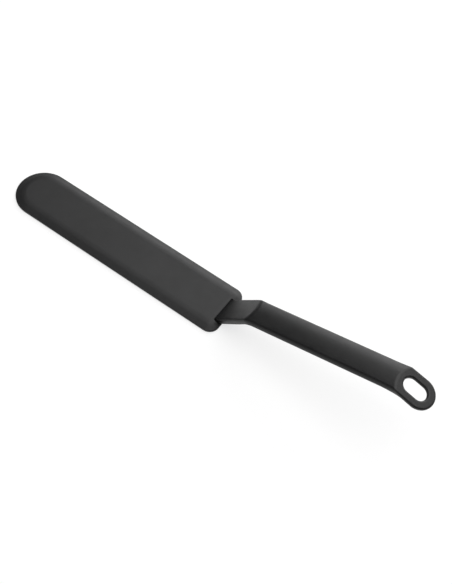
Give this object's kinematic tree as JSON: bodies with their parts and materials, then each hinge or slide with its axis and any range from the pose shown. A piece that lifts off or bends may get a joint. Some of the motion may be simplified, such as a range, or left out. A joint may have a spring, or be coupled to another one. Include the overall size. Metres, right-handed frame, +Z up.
{
  "type": "offset spatula",
  "caption": "Offset spatula with a soft-skinned flexible blade, a bent steel core, and a moulded handle that rises clear of the work and ends in a hanging loop.",
  "frame": {"origin": "centre of the blade's flat underside", "axes": "+X runs from the blade towards the handle, +Z up out of the blade's top, +Y across the blade to the left when looking along +X"},
  "size_m": [0.3687, 0.0448, 0.0604],
  "materials": {
    "silicone": "matte",
    "spring_steel": "satin",
    "nylon": "satin"
  },
  "bodies": {
    "root": {"blade_skin": "silicone", "blade_core": "spring_steel", "handle": "nylon"}
  },
  "joints": []
}
